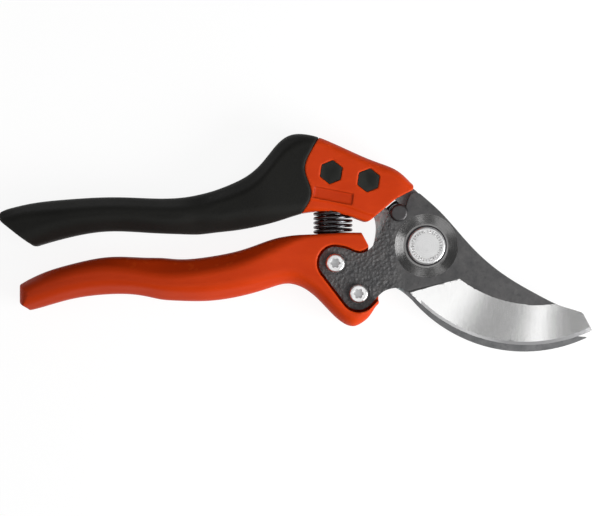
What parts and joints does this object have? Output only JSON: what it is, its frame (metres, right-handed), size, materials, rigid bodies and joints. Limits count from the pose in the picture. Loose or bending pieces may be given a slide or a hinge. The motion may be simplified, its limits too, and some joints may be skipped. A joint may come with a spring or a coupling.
{
  "type": "bypass pruning shears",
  "caption": "One-hand bypass pruning shears with a curved cutting blade over a hooked counter-blade, coil spring, sliding catch, an orange handle and a black soft grip.",
  "frame": {"origin": "on the pivot's axis, in the plane that the shears rest on when laid flat", "axes": "+X towards the blade tips, +Y towards the upper, soft-gripped handle, +Z out of the resting plane along the pivot's axis"},
  "size_m": [0.2221, 0.0817, 0.0198],
  "materials": {
    "orange_nylon": "glass-filled nylon, satin, faint flow marks",
    "black_elastomer": "soft overmoulded elastomer, fine matte texture",
    "forged_steel": "dark oxide scale with a bright ground bevel and turned dish",
    "zinc_steel": "zinc-plated, slightly dulled",
    "black_plastic": "moulded, fine matte",
    "bright_steel": "satin-turned bright steel",
    "spring_steel": "blackened spring wire",
    "black_oxide_steel": "black oxide",
    "bronze": "sintered bearing bronze"
  },
  "bodies": {
    "fixed_side": {"upper_handle": "orange_nylon", "soft_grip": "black_elastomer", "counter_blade": "forged_steel", "tang_bolts": "zinc_steel", "tang_nuts": "zinc_steel", "hex_plugs": "black_plastic", "pivot_bolt": "bright_steel", "pivot_nut": "zinc_steel", "nut_lock_plate": "zinc_steel", "lock_plate_screw": "zinc_steel", "spring": "spring_steel"},
    "moving_side": {"lower_handle": "orange_nylon", "blade": "forged_steel", "blade_screws": "bright_steel", "blade_nuts": "zinc_steel", "pivot_bush": "bronze", "pivot_washer": "black_oxide_steel"},
    "catch": {"catch_pin": "black_oxide_steel", "catch_slider": "black_plastic", "catch_screw": "zinc_steel", "catch_washer": "spring_steel"}
  },
  "joints": [
    {"name": "pivot", "type": "hinge", "parent": "fixed_side", "child": "moving_side", "pos_m": [0, 0, 0.0101], "axis": [0, 0, 1], "range_deg": [0, 25], "deforming": ["spring"]},
    {"name": "catch_slide", "type": "slide", "parent": "fixed_side", "child": "catch", "axis": [-0.6402, 0.7682, 0], "range_m": [0, 0.00786]}
  ],
  "couplings": [
    {"joint": "catch_slide", "follows": "pivot", "m_per_rad": 0.018}
  ]
}
